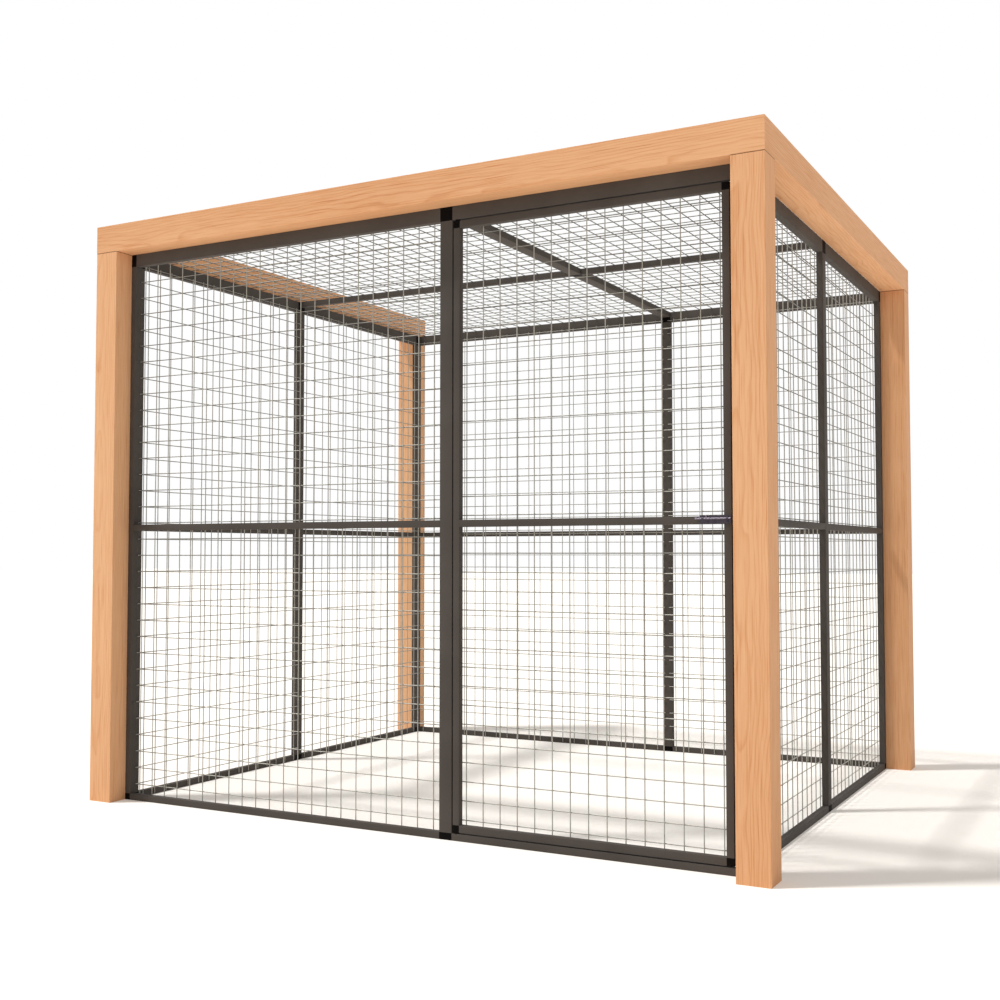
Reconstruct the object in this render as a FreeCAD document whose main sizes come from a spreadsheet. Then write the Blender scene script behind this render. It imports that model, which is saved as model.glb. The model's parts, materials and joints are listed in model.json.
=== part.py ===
"""Cat run: a timber portal around plug-in tube frames with welded mesh and a pivoted door.

Millimetres, +Z up. The origin lies on the floor in the middle of the run, the door faces -Y.
"""
import FreeCAD
import Part
import Sketcher
import math
import os
import re

doc = FreeCAD.newDocument("CatRun")
sheet = doc.addObject("Spreadsheet::Sheet", "Sizes")

SIZES = (
    # timber portal
    ("overall_width", 3000.0),
    ("overall_depth", 2560.0),
    ("overall_height", 2505.0),
    ("timber", 118.0),
    ("timber_round", 2.0),
    # tube frames
    ("tube", 26.7),
    ("tube_double", 53.4),
    ("tube_wall", 1.5),
    ("mullion_offset", 236.6),
    ("mid_rail_height", 1180.0),
    # connectors and plugs
    ("spigot_length", 40.0),
    ("spigot_fit", 0.1),
    ("spigot_taper", 0.6),
    ("plug_length", 24.0),
    # welded mesh
    ("mesh_pitch", 71.1),
    ("wire", 4.0),
    ("mesh_first_row", 64.0),
    ("mesh_lap", 14.0),
    ("mesh_foot", 6.0),
    ("mesh_edge", 1.0),
    ("front_first_column", 42.0),
    ("left_first_column", 31.4),
    ("right_first_column", 20.7),
    ("near_first_column", 18.3),
    ("far_first_column", 19.1),
    ("roof_first_row", 37.9),
    # door
    ("door_gap_hinge", 5.5),
    ("door_gap_lock", 6.0),
    ("door_gap_top", 6.0),
    ("door_gap_bottom", 5.0),
    ("door_mesh_first", 41.6),
    ("door_mesh_inset", 8.0),
    # pivots
    ("pivot_inset", 9.0),
    ("pin_across", 8.0),
    ("pin_play", 0.05),
    ("pin_seat_depth", 18.0),
    ("pin_reach", 10.0),
    ("bush_across", 14.0),
    ("bush_flange", 20.0),
    ("bush_fit", 0.05),
    ("bush_depth", 13.0),
    ("pivot_end_play", 0.3),
    # slide bolt
    ("plate_long", 110.0),
    ("plate_tall", 29.0),
    ("plate_thick", 2.0),
    ("plate_rise", 2.0),
    ("plate_edge_gap", 1.2),
    ("rod_across", 6.0),
    ("rod_stand_off", 0.8),
    ("rod_rise", 3.5),
    ("rod_play", 0.1),
    ("rod_overhang", 15.0),
    ("rod_tip_gap", 1.0),
    ("rod_cone", 1.2),
    ("guide_long", 6.5),
    ("guide_wall", 2.0),
    ("guide_inset", 12.0),
    ("handle_from_guide", 9.0),
    ("handle_tall", 9.5),
    ("knob_clear", 0.3),
    ("knob_long", 6.5),
    ("keep_long", 23.0),
    ("keep_guide_long", 11.0),
    ("keep_guide_inset", 0.5),
    ("keep_play", 1.5),
    # screws
    ("beam_screw_across", 8.0),
    ("beam_screw_head", 22.0),
    ("beam_screw_head_tall", 3.5),
    ("beam_screw_bite", 90.0),
    ("frame_screw_across", 5.0),
    ("frame_screw_head", 10.0),
    ("frame_screw_head_tall", 2.6),
    ("frame_screw_bite", 35.0),
    ("frame_screw_low", 420.0),
    ("frame_screw_high", 1920.0),
    ("frame_screw_stagger", 40.0),
    ("corner_screw_bite", 6.0),
    ("small_screw_across", 3.6),
    ("small_screw_head", 7.0),
    ("small_screw_head_tall", 2.0),
    ("small_screw_bite", 6.0),
    ("small_screw_drop", 8.5),
    ("screw_fit", 0.05),
)

DERIVED = (
    ("half_width", "overall_width / 2"),
    ("half_depth", "overall_depth / 2"),
    ("post_face_x", "half_width - timber"),
    ("post_face_y", "half_depth - timber"),
    ("post_x", "half_width - timber / 2"),
    ("post_y", "half_depth - timber / 2"),
    ("post_top", "overall_height - timber"),
    # wall frames: the front and back ones stand between the posts, the side ones inside them
    ("frame_y", "post_face_y + tube / 2"),
    ("frame_face_y", "post_face_y + tube"),
    ("frame_x", "post_face_x - tube / 2"),
    ("side_inner_x", "post_face_x - tube"),
    ("side_stile_y", "post_face_y - tube / 2"),
    ("top_rail_low", "post_top - tube_double"),
    ("top_rail_z", "post_top - tube_double / 2"),
    ("bottom_rail_z", "tube / 2"),
    ("stile_length", "top_rail_low - tube"),
    ("mullion_left", "mullion_offset - tube_double / 2"),
    ("mullion_right", "mullion_offset + tube_double / 2"),
    ("left_bay", "mullion_left + side_inner_x"),
    ("right_bay", "side_inner_x - mullion_right"),
    ("side_bay", "post_face_y - tube - tube_double / 2"),
    ("roof_rail_z", "post_top - tube / 2"),
    ("roof_rise", "(tube_double - tube) / 2"),
    # mesh counts
    ("front_columns", "floor((left_bay - front_first_column - 2 * wire) / mesh_pitch)"),
    ("left_columns", "floor((left_bay - left_first_column - 2 * wire) / mesh_pitch)"),
    ("right_columns", "floor((right_bay - right_first_column - 2 * wire) / mesh_pitch)"),
    ("side_reach", "post_face_y - tube_double / 2 - 2 * wire"),
    ("near_columns", "floor((side_reach - near_first_column) / mesh_pitch)"),
    ("far_columns", "floor((side_reach - far_first_column) / mesh_pitch)"),
    ("rows_up", "floor((top_rail_low + mesh_lap - wire - mesh_first_row) / mesh_pitch)"),
    ("roof_left_columns", "floor((mullion_left + post_face_x - wire - left_first_column) / mesh_pitch)"),
    ("roof_right_columns", "floor((post_face_x - wire - mullion_right - right_first_column) / mesh_pitch)"),
    ("roof_rows_far", "floor((post_face_y - 2 * wire - roof_first_row) / mesh_pitch)"),
    ("roof_rows_near", "floor((post_face_y - 2 * wire + roof_first_row) / mesh_pitch)"),
    ("mesh_end_x", "side_inner_x - 2 * wire - mesh_edge"),
    ("mesh_end_y", "post_face_y - mesh_edge"),
    ("mesh_top", "top_rail_low + mesh_lap"),
    ("roof_mesh_back", "frame_face_y - 2 * mesh_edge"),
    ("roof_mesh_side", "post_face_x - 2 * mesh_edge"),
    # door leaf
    ("door_left", "mullion_right + door_gap_hinge"),
    ("door_right", "side_inner_x - door_gap_lock"),
    ("door_low", "tube + door_gap_bottom"),
    ("door_high", "top_rail_low - door_gap_top"),
    ("door_rail_start", "door_left + tube"),
    ("door_rail_length", "door_right - door_left - 2 * tube"),
    ("door_stile_start", "door_low + tube"),
    ("door_stile_length", "door_high - door_low - 2 * tube"),
    ("door_columns", "floor((door_rail_length - 4 * wire) / mesh_pitch)"),
    ("door_first_column", "(door_left + door_right - door_columns * mesh_pitch) / 2"),
    ("door_first_row", "door_low + door_mesh_first"),
    ("door_rows", "floor((door_high - tube - wire - door_first_row) / mesh_pitch)"),
    ("pivot_x", "door_left + tube / 2"),
    ("pivot_y", "pivot_inset - frame_face_y"),
    # slide bolt
    ("plate_x", "door_right - plate_edge_gap - plate_long / 2"),
    ("plate_z", "mid_rail_height + plate_rise"),
    ("rod_out", "plate_thick + rod_stand_off + rod_across / 2"),
    ("rod_z", "plate_z + rod_rise"),
    ("knob_across", "rod_across + 2 * (rod_stand_off - knob_clear)"),
    ("rod_left", "plate_x - plate_long / 2 - rod_overhang"),
    ("rod_right", "door_right - rod_tip_gap"),
    ("guide_x", "plate_long / 2 - guide_inset"),
    ("handle_x", "plate_x - guide_x + guide_long / 2 + handle_from_guide"),
    ("keep_x", "frame_x"),
    ("small_screw_z", "plate_z - small_screw_drop"),
    ("small_screw_left", "plate_x - plate_long / 4"),
    ("small_screw_middle", "door_right - tube - plug_length - small_screw_head"),
    ("small_screw_right", "door_right - tube / 2"),
    ("third_of_timber", "timber / 3"),
)

ALIASES = {name for name, _ in SIZES + DERIVED}
NODES = {}
PLANE = {"x": "YZ_Plane", "y": "XZ_Plane", "z": "XY_Plane"}
NORMAL = {"x": 1, "y": -1, "z": 1}
ZERO = "0"
CLOSE = 0.01
AHEAD = {"x": FreeCAD.Vector(1, 0, 0), "y": FreeCAD.Vector(0, 1, 0), "z": FreeCAD.Vector(0, 0, 1)}
BAYS = (("left", "-side_inner_x", "left_bay"), ("right", "mullion_right", "right_bay"))


def fill_sheet():
    """Write every size as text, then the sizes that follow from them as formulas."""
    row = 0
    for name, number in SIZES:
        row += 1
        sheet.set(f"A{row}", name)
        sheet.set(f"B{row}", str(number))
        sheet.setAlias(f"B{row}", name)
    for name, formula in DERIVED:
        row += 1
        sheet.set(f"A{row}", name)
        sheet.set(f"B{row}", "=" + formula)
        sheet.setAlias(f"B{row}", name)
    doc.recompute()


def from_sheet(text):
    """Put the sheet's name before each of its aliases."""
    return re.sub(r"[a-z_]+", lambda word: "Sizes." + word[0] if word[0] in ALIASES else word[0], text)


def bind(thing, prop, text):
    thing.setExpression(prop, from_sheet(text))


def number(text):
    return float(sheet.evalExpression(from_sheet(text)))


def place(thing, spot, turn=None):
    """Bind a thing's position to the sheet, with a fixed turn where it has one."""
    if turn is not None:
        thing.Placement = FreeCAD.Placement(FreeCAD.Vector(), turn)
    for axis, text in zip("xyz", spot):
        bind(thing, "Placement.Base." + axis, text)


def group(name, things):
    """Join pieces of one kind as one node, each still its own solid."""
    node = doc.addObject("Part::Compound", name)
    node.Links = things
    NODES[name] = node
    return node


def sketch_on(body, name, role, offset=(ZERO, ZERO, ZERO)):
    sketch = body.newObject("Sketcher::SketchObject", name)
    plane = [part for part in body.Origin.OriginFeatures if part.Role == role][0]
    sketch.AttachmentSupport = [(plane, "")]
    sketch.MapMode = "FlatFace"
    for axis, text in zip("xyz", offset):
        if text != ZERO:
            bind(sketch, "AttachmentOffset.Base." + axis, text)
    return sketch


def constrain(sketch, *terms, text=None):
    index = sketch.addConstraint(Sketcher.Constraint(*terms))
    if text is not None:
        bind(sketch, f"Constraints[{index}]", text)
    return index


def closed_outline(sketch, points):
    """Draw straight lines through the points and close them."""
    first = sketch.GeometryCount
    total = len(points)
    for index, point in enumerate(points):
        sketch.addGeometry(Part.LineSegment(point, points[(index + 1) % total]), False)
    for index in range(total):
        constrain(sketch, "Coincident", first + index, 2, first + (index + 1) % total, 1)
    return first


def rectangle(sketch, width, depth):
    """Rectangle about the sketch's origin, both sides bound."""
    a = number(width) / 2
    b = number(depth) / 2
    corners = [FreeCAD.Vector(u, v, 0) for u, v in ((-a, -b), (a, -b), (a, b), (-a, b))]
    first = closed_outline(sketch, corners)
    constrain(sketch, "Horizontal", first)
    constrain(sketch, "Horizontal", first + 2)
    constrain(sketch, "Vertical", first + 1)
    constrain(sketch, "Vertical", first + 3)
    constrain(sketch, "Symmetric", first, 1, first + 2, 1, -1, 1)
    constrain(sketch, "DistanceX", first, 1, first, 2, 2 * a, text=width)
    constrain(sketch, "DistanceY", first + 1, 1, first + 1, 2, 2 * b, text=depth)


def hexagon(sketch, across, first_angle):
    """Regular hexagon about the sketch's origin, measured across its flats."""
    size = number(across)
    reach = size / math.sqrt(3)
    angles = [math.radians(first_angle + 60 * step) for step in range(6)]
    first = closed_outline(
        sketch, [FreeCAD.Vector(reach * math.cos(a), reach * math.sin(a), 0) for a in angles])
    circle = sketch.addGeometry(Part.Circle(FreeCAD.Vector(), AHEAD["z"], size / 2), True)
    constrain(sketch, "Coincident", circle, 3, -1, 1)
    for step in range(6):
        constrain(sketch, "Tangent", first + step, circle)
    for step in range(5):
        constrain(sketch, "Equal", first + step, first + step + 1)
    if first_angle == 0:
        constrain(sketch, "Horizontal", first + 1)
    else:
        constrain(sketch, "Vertical", first + 5)
    constrain(sketch, "Diameter", circle, size, text=across)


def pad(body, name, sketch, length, reverse=False, both_ways=False, taper=None):
    feature = body.newObject("PartDesign::Pad", name)
    feature.Profile = sketch
    bind(feature, "Length", length)
    feature.Reversed = reverse
    if both_ways:
        feature.SideType = "Symmetric"
    if taper is not None:
        bind(feature, "TaperAngle", taper)
    body.Tip = feature
    return feature


def pattern(body, name, original, axis, length, count):
    feature = body.newObject("PartDesign::LinearPattern", name)
    feature.Originals = [original]
    line = [part for part in body.Origin.OriginFeatures if part.Role == axis][0]
    feature.Direction = (line, [""])
    bind(feature, "Length", length)
    bind(feature, "Occurrences", count)
    body.Tip = feature
    return feature


def bore(body, name, axis, spots, across, depth=None, offset=ZERO, reverse=False):
    """Round holes along one axis: right through, or to a depth from an offset plane."""
    sketch = sketch_on(body, name + "_plan", PLANE[axis], (ZERO, ZERO, offset))
    for u, v in spots:
        centre = FreeCAD.Vector(number(u), number(v), 0)
        circle = sketch.addGeometry(Part.Circle(centre, AHEAD["z"], number(across) / 2), False)
        constrain(sketch, "Diameter", circle, number(across), text=across)
        if u == ZERO:
            constrain(sketch, "PointOnObject", circle, 3, -2)
        else:
            constrain(sketch, "DistanceX", -1, 1, circle, 3, centre.x, text=u)
        if v == ZERO:
            constrain(sketch, "PointOnObject", circle, 3, -1)
        else:
            constrain(sketch, "DistanceY", -1, 1, circle, 3, centre.y, text=v)
    feature = body.newObject("PartDesign::Pocket", name)
    feature.Profile = sketch
    if depth is None:
        feature.Type = "ThroughAll"
        feature.SideType = "Symmetric"
    else:
        bind(feature, "Length", depth)
        feature.Reversed = reverse
    body.Tip = feature


def round_long_edges(body, axis, square=None):
    """Round the edges that run along one axis, but for a square one given by its place across it."""
    doc.recompute()
    base = body.Tip
    names = []
    for index, edge in enumerate(base.Shape.Edges):
        start = edge.Vertexes[0].Point
        run = edge.Vertexes[1].Point - start
        across = [value for key, value in zip("xyz", start) if key != axis]
        kept = square is not None and math.dist(across, square) < CLOSE
        if abs(run.normalize().dot(AHEAD[axis])) > 0.999 and not kept:
            names.append(f"Edge{index + 1}")
    feature = body.newObject("PartDesign::Fillet", body.Name + "_round")
    feature.Base = (base, names)
    bind(feature, "Radius", "timber_round")
    body.Tip = feature


def tube(name, along, width, depth, length, start, node=True):
    """Hollow tube: a section about its own axis, run out along x, y or z."""
    body = doc.addObject("PartDesign::Body", name)
    sketch = sketch_on(body, name + "_section", PLANE[along])
    rectangle(sketch, width, depth)
    rectangle(sketch, f"{width} - 2 * tube_wall", f"{depth} - 2 * tube_wall")
    pad(body, name + "_run", sketch, length, reverse=NORMAL[along] < 0)
    place(body, start)
    if node:
        NODES[name] = body
    return body


def connector(name, size, centre, spigots):
    """Nylon block with a tapered spigot for each tube that plugs onto it.

    A spigot is (axis, sign, section width, section depth, rise of its centre above the block's).
    """
    body = doc.addObject("PartDesign::Body", name)
    sketch = sketch_on(body, name + "_plan", "XY_Plane")
    rectangle(sketch, size["x"], size["y"])
    pad(body, name + "_block", sketch, size["z"], both_ways=True)
    for axis, sign, width, depth, rise in spigots:
        way = sign * NORMAL[axis]
        tag = f"{name}_{axis}_{'plus' if sign > 0 else 'minus'}"
        sketch = sketch_on(body, tag + "_plan", PLANE[axis], (ZERO, rise, f"{way} * {size[axis]} / 2"))
        rectangle(sketch, f"{width} - 2 * (tube_wall + spigot_fit)",
                  f"{depth} - 2 * (tube_wall + spigot_fit)")
        pad(body, tag, sketch, "spigot_length", reverse=way < 0, taper="-spigot_taper")
    place(body, centre)
    return body


def screw(name, away, kind, length, spot):
    """Screw with a low cone head. Its head points along `away`, the spot lies under the head."""
    shank = doc.addObject("Part::Cylinder", name + "_shank")
    bind(shank, "Radius", f"{kind}_across / 2")
    bind(shank, "Height", length)
    bind(shank, "Placement.Base.z", f"-({length})")
    head = doc.addObject("Part::Cone", name + "_head")
    bind(head, "Radius1", f"{kind}_head / 2")
    bind(head, "Radius2", f"{kind}_head / 3")
    bind(head, "Height", f"{kind}_head_tall")
    whole = doc.addObject("Part::Fuse", name)
    whole.Base = shank
    whole.Tool = head
    place(whole, spot, FreeCAD.Rotation(AHEAD["z"], away))
    return whole


def post(name, side, end):
    """Square post with its screw holes: beam screws from above, frame screws from its inner face."""
    body = doc.addObject("PartDesign::Body", name)
    sketch = sketch_on(body, name + "_section", "XY_Plane")
    rectangle(sketch, "timber", "timber")
    pad(body, name + "_run", sketch, "post_top")
    round_long_edges(body, "z")
    if end < 0:
        spots = [(f"{-side} * timber / 6", "-timber / 6"), (f"{side} * timber / 6", "timber / 6")]
    else:
        spots = [(ZERO, "-timber / 5"), (ZERO, "timber / 5")]
    bore(body, name + "_beam_holes", "z", spots, "beam_screw_across + 2 * screw_fit",
         "beam_screw_bite + 2", "post_top")
    across = f"{-end} * (timber - tube) / 2"
    rows = [(across, "frame_screw_low"), (across, "frame_screw_high")]
    bore(body, name + "_frame_holes", "x", rows, "frame_screw_across + 2 * screw_fit",
         "frame_screw_bite + 2", f"{-side} * timber / 2", reverse=side > 0)
    place(body, (f"{side} * post_x", f"{end} * post_y", ZERO))
    NODES[name] = body


def beam_along_front(name):
    """Front beam: a trapezoid in plan, mitred at both ends."""
    body = doc.addObject("PartDesign::Body", name)
    sketch = sketch_on(body, name + "_plan", "XY_Plane")
    a = number("half_width")
    b = number("post_face_x")
    d = number("timber")
    first = closed_outline(
        sketch, [FreeCAD.Vector(u, v, 0) for u, v in ((-a, 0), (a, 0), (b, d), (-b, d))])
    constrain(sketch, "Symmetric", first, 1, first, 2, -1, 1)
    constrain(sketch, "Horizontal", first)
    constrain(sketch, "Symmetric", first + 2, 1, first + 2, 2, -2)
    constrain(sketch, "DistanceX", first, 1, first, 2, 2 * a, text="overall_width")
    constrain(sketch, "DistanceX", first + 2, 2, first + 2, 1, 2 * b, text="2 * post_face_x")
    constrain(sketch, "DistanceY", first, 2, first + 1, 2, d, text="timber")
    pad(body, name + "_run", sketch, "timber")
    round_long_edges(body, "x")
    spots = [(f"{side} * (half_width - 2 * third_of_timber)", "third_of_timber") for side in (-1, 1)]
    bore(body, name + "_holes", "z", spots, "beam_screw_across + 2 * screw_fit")
    place(body, (ZERO, "-half_depth", "post_top"))
    NODES[name] = body


def beam_along_side(name, side):
    """Side beam: mitred at the front, square at the back and where the side frame meets its lower edge."""
    body = doc.addObject("PartDesign::Body", name)
    sketch = sketch_on(body, name + "_plan", "XY_Plane")
    d = number("timber")
    run = number("overall_depth")
    inner = -side * d
    first = closed_outline(
        sketch, [FreeCAD.Vector(u, v, 0) for u, v in ((0, 0), (0, -run), (inner, d - run), (inner, 0))])
    constrain(sketch, "Coincident", first, 1, -1, 1)
    constrain(sketch, "Vertical", first)
    constrain(sketch, "Vertical", first + 2)
    constrain(sketch, "Horizontal", first + 3)
    constrain(sketch, "DistanceY", first, 2, first, 1, run, text="overall_depth")
    constrain(sketch, "DistanceY", first + 2, 1, first + 2, 2, run - d, text="overall_depth - timber")
    constrain(sketch, "DistanceX", first + 3, 2, first + 3, 1, inner, text=f"{-side} * timber")
    pad(body, name + "_run", sketch, "timber")
    round_long_edges(body, "y", square=(inner, 0))
    spots = [(f"{-side} * third_of_timber", "2 * third_of_timber - overall_depth"),
             (f"{-side} * timber / 2", "-timber * 3 / 10"),
             (f"{-side} * timber / 2", "-timber * 7 / 10")]
    bore(body, name + "_holes", "z", spots, "beam_screw_across + 2 * screw_fit")
    place(body, (f"{side} * half_width", "half_depth", "post_top"))
    NODES[name] = body


def beam_screws():
    length = "timber + beam_screw_bite"
    up = AHEAD["z"]
    screws = []
    for word, side in (("left", -1), ("right", 1)):
        spots = {
            "front": (f"{side} * (half_width - 2 * third_of_timber)", "third_of_timber - half_depth"),
            "side": (f"{side} * (half_width - third_of_timber)", "2 * third_of_timber - half_depth"),
            "back_outer": (f"{side} * post_x", "half_depth - timber * 3 / 10"),
            "back_inner": (f"{side} * post_x", "half_depth - timber * 7 / 10"),
        }
        for tag, (x, y) in spots.items():
            spot = (x, y, "overall_height")
            screws.append(screw(f"beam_screw_{word}_{tag}", up, "beam_screw", length, spot))
    group("beam_screws", screws)


def mesh_bay(name, columns, rows):
    """Welded mesh of one bay in its own plane: upright wires against the frame, level wires across them.

    columns and rows are (first place, count - 1, start of the wires, their length).
    """
    uprights = doc.addObject("PartDesign::Body", name + "_uprights")
    sketch = sketch_on(uprights, name + "_upright_section", "XY_Plane")
    hexagon(sketch, "wire", 0)
    one = pad(uprights, name + "_upright", sketch, columns[3])
    pattern(uprights, name + "_upright_row", one, "X_Axis",
            f"mesh_pitch * ({columns[1]})", f"{columns[1]} + 1")
    place(uprights, (columns[0], "wire / 2", columns[2]))
    levels = doc.addObject("PartDesign::Body", name + "_levels")
    sketch = sketch_on(levels, name + "_level_section", "YZ_Plane")
    hexagon(sketch, "wire", 30)
    one = pad(levels, name + "_level", sketch, rows[3])
    pattern(levels, name + "_level_row", one, "Z_Axis", f"mesh_pitch * ({rows[1]})", f"{rows[1]} + 1")
    place(levels, (rows[2], "3 * wire / 2", rows[0]))
    return [uprights, levels]


def cube(width="tube", depth="tube", height="tube"):
    return {"x": width, "y": depth, "z": height}


def wall_across(wall, end):
    """Front or back frame: stiles at the posts, a mullion, rails plugged between them."""
    y = f"{end} * frame_y"
    stiles = []
    for word, side in (("left", -1), ("right", 1)):
        stile = tube(f"{wall}_stile_{word}", "z", "tube", "tube", "stile_length",
                     (f"{side} * frame_x", y, "tube"), node=wall == "front")
        rows = [(ZERO, "frame_screw_low - tube"), (ZERO, "frame_screw_high - tube")]
        bore(stile, stile.Name + "_post_holes", "x", rows, "frame_screw_across + 2 * screw_fit")
        rows = [(ZERO, "frame_screw_low + frame_screw_stagger - tube"),
                (ZERO, "frame_screw_high + frame_screw_stagger - tube")]
        bore(stile, stile.Name + "_corner_holes", "y", rows, "frame_screw_across + 2 * screw_fit",
             "2 * tube_wall", f"{end} * tube / 2", reverse=end < 0)
        stiles.append(stile)
    if wall == "back":
        group("back_stiles", stiles)
    tube(f"{wall}_mullion", "z", "tube_double", "tube", "stile_length", ("mullion_offset", y, "tube"))
    top = [tube(f"{wall}_top_rail_{word}", "x", "tube", "tube_double", length, (start, y, "top_rail_z"),
                node=wall == "front")
           for word, start, length in BAYS]
    bottom = [tube(f"{wall}_bottom_rail_{word}", "x", "tube", "tube", length, (start, y, "bottom_rail_z"),
                   node=wall == "front")
              for word, start, length in BAYS]
    mid = [tube(f"{wall}_mid_rail_left", "x", "tube", "tube", "left_bay",
                ("-side_inner_x", y, "mid_rail_height"), node=False)]
    if wall == "back":
        mid.append(tube("back_mid_rail_right", "x", "tube", "tube", "right_bay",
                        ("mullion_right", y, "mid_rail_height"), node=False))
        group("back_top_rails", top)
        group("back_bottom_rails", bottom)
        group("back_mid_rails", mid)
    else:
        NODES["front_mid_rail"] = mid[0]
        mid[0].Label = "front_mid_rail"
    blocks = []
    for word, side in (("left", -1), ("right", 1)):
        blocks.append(connector(f"{wall}_corner_top_{word}", cube(height="tube_double"),
                                (f"{side} * frame_x", y, "top_rail_z"),
                                [("x", -side, "tube", "tube_double", ZERO), ("z", -1, "tube", "tube", ZERO)]))
        blocks.append(connector(f"{wall}_corner_bottom_{word}", cube(),
                                (f"{side} * frame_x", y, "bottom_rail_z"),
                                [("x", -side, "tube", "tube", ZERO), ("z", 1, "tube", "tube", ZERO)]))
    above = connector(f"{wall}_tee_top", cube("tube_double", "tube", "tube_double"),
                      ("mullion_offset", y, "top_rail_z"),
                      [("x", -1, "tube", "tube_double", ZERO), ("x", 1, "tube", "tube_double", ZERO),
                       ("z", -1, "tube_double", "tube", ZERO),
                       ("y", -end, "tube_double", "tube", "roof_rise")])
    below = connector(f"{wall}_tee_bottom", cube("tube_double"), ("mullion_offset", y, "bottom_rail_z"),
                      [("x", -1, "tube", "tube", ZERO), ("x", 1, "tube", "tube", ZERO),
                       ("z", 1, "tube_double", "tube", ZERO)])
    group(f"{wall}_connectors", blocks + [above, below])
    return above, below


def wall_along(wall, side):
    """Left or right frame: end stiles against the front and back frames, a centre stile, rails."""
    x = f"{side} * frame_x"
    stiles = []
    for word, end in (("front", -1), ("back", 1)):
        stile = tube(f"{wall}_stile_{word}", "z", "tube", "tube", "stile_length",
                     (x, f"{end} * side_stile_y", "tube"), node=False)
        rows = [(ZERO, "frame_screw_low + frame_screw_stagger - tube"),
                (ZERO, "frame_screw_high + frame_screw_stagger - tube")]
        bore(stile, stile.Name + "_holes", "y", rows, "frame_screw_across + 2 * screw_fit")
        stiles.append(stile)
    group(f"{wall}_stiles", stiles)
    tube(f"{wall}_centre_stile", "z", "tube", "tube_double", "stile_length", (x, ZERO, "tube"))
    starts = (("front", "tube - post_face_y"), ("back", "tube_double / 2"))
    for tag, height, z in (("top", "tube_double", "top_rail_z"), ("bottom", "tube", "bottom_rail_z"),
                           ("mid", "tube", "mid_rail_height")):
        group(f"{wall}_{tag}_rails",
              [tube(f"{wall}_{tag}_rail_{word}", "y", "tube", height, "side_bay", (x, start, z), node=False)
               for word, start in starts])
    blocks = []
    for word, end in (("front", -1), ("back", 1)):
        blocks.append(connector(f"{wall}_corner_top_{word}", cube(height="tube_double"),
                                (x, f"{end} * side_stile_y", "top_rail_z"),
                                [("y", -end, "tube", "tube_double", ZERO), ("z", -1, "tube", "tube", ZERO)]))
        blocks.append(connector(f"{wall}_corner_bottom_{word}", cube(),
                                (x, f"{end} * side_stile_y", "bottom_rail_z"),
                                [("y", -end, "tube", "tube", ZERO), ("z", 1, "tube", "tube", ZERO)]))
    blocks.append(connector(f"{wall}_tee_top", cube("tube", "tube_double", "tube_double"),
                            (x, ZERO, "top_rail_z"),
                            [("y", -1, "tube", "tube_double", ZERO), ("y", 1, "tube", "tube_double", ZERO),
                             ("z", -1, "tube", "tube_double", ZERO),
                             ("x", -side, "tube", "tube", "roof_rise")]))
    blocks.append(connector(f"{wall}_tee_bottom", cube("tube", "tube_double"), (x, ZERO, "bottom_rail_z"),
                            [("y", -1, "tube", "tube", ZERO), ("y", 1, "tube", "tube", ZERO),
                             ("z", 1, "tube", "tube_double", ZERO)]))
    group(f"{wall}_connectors", blocks)


def roof():
    """Roof rails plugged on the wall frames' top connectors and on a crossing block."""
    group("roof_long_rails",
          [tube(f"roof_long_rail_{word}", "y", "tube_double", "tube", "post_face_y - tube / 2",
                ("mullion_offset", start, "roof_rail_z"), node=False)
           for word, start in (("front", "-post_face_y"), ("back", "tube / 2"))])
    group("roof_cross_rails",
          [tube(f"roof_cross_rail_{word}", "x", "tube", "tube", length, (start, ZERO, "roof_rail_z"),
                node=False)
           for word, start, length in BAYS])
    NODES["roof_connector"] = connector(
        "roof_connector", cube("tube_double"), ("mullion_offset", ZERO, "roof_rail_z"),
        [("x", -1, "tube", "tube", ZERO), ("x", 1, "tube", "tube", ZERO),
         ("y", -1, "tube_double", "tube", ZERO), ("y", 1, "tube_double", "tube", ZERO)])


def plugs():
    """Inserts that close the ends of the mid rails against the stiles."""
    def insert(name, along, centre):
        body = doc.addObject("Part::Box", name)
        fit = "tube - 2 * (tube_wall + spigot_fit)"
        sizes = {"x": fit, "y": fit, "z": fit}
        sizes[along] = "plug_length"
        for prop, axis in (("Length", "x"), ("Width", "y"), ("Height", "z")):
            bind(body, prop, sizes[axis])
        place(body, [f"{spot} - ({sizes[axis]}) / 2" for axis, spot in zip("xyz", centre)])
        return body
    z = "mid_rail_height"
    pieces = []
    for wall, end in (("front", -1), ("back", 1)):
        y = f"{end} * frame_y"
        pieces.append(insert(f"{wall}_plug_far_left", "x", ("plug_length / 2 - side_inner_x", y, z)))
        pieces.append(insert(f"{wall}_plug_left", "x", ("mullion_left - plug_length / 2", y, z)))
    pieces.append(insert("back_plug_right", "x", ("mullion_right + plug_length / 2", "frame_y", z)))
    pieces.append(insert("back_plug_far_right", "x", ("side_inner_x - plug_length / 2", "frame_y", z)))
    for wall, side in (("left", -1), ("right", 1)):
        for word, end in (("front", -1), ("back", 1)):
            x = f"{side} * frame_x"
            pieces.append(insert(f"{wall}_plug_{word}_outer", "y",
                                 (x, f"{end} * (post_face_y - tube - plug_length / 2)", z)))
            pieces.append(insert(f"{wall}_plug_{word}_inner", "y",
                                 (x, f"{end} * (tube_double / 2 + plug_length / 2)", z)))
    group("mid_rail_plugs", pieces)
    hinge = insert("door_plug_hinge", "x", ("door_rail_start + plug_length / 2", "-frame_y", z))
    lock = insert("door_plug_lock", "x", ("door_right - tube - plug_length / 2", "-frame_y", z))
    group("door_plugs", [hinge, lock])


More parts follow.
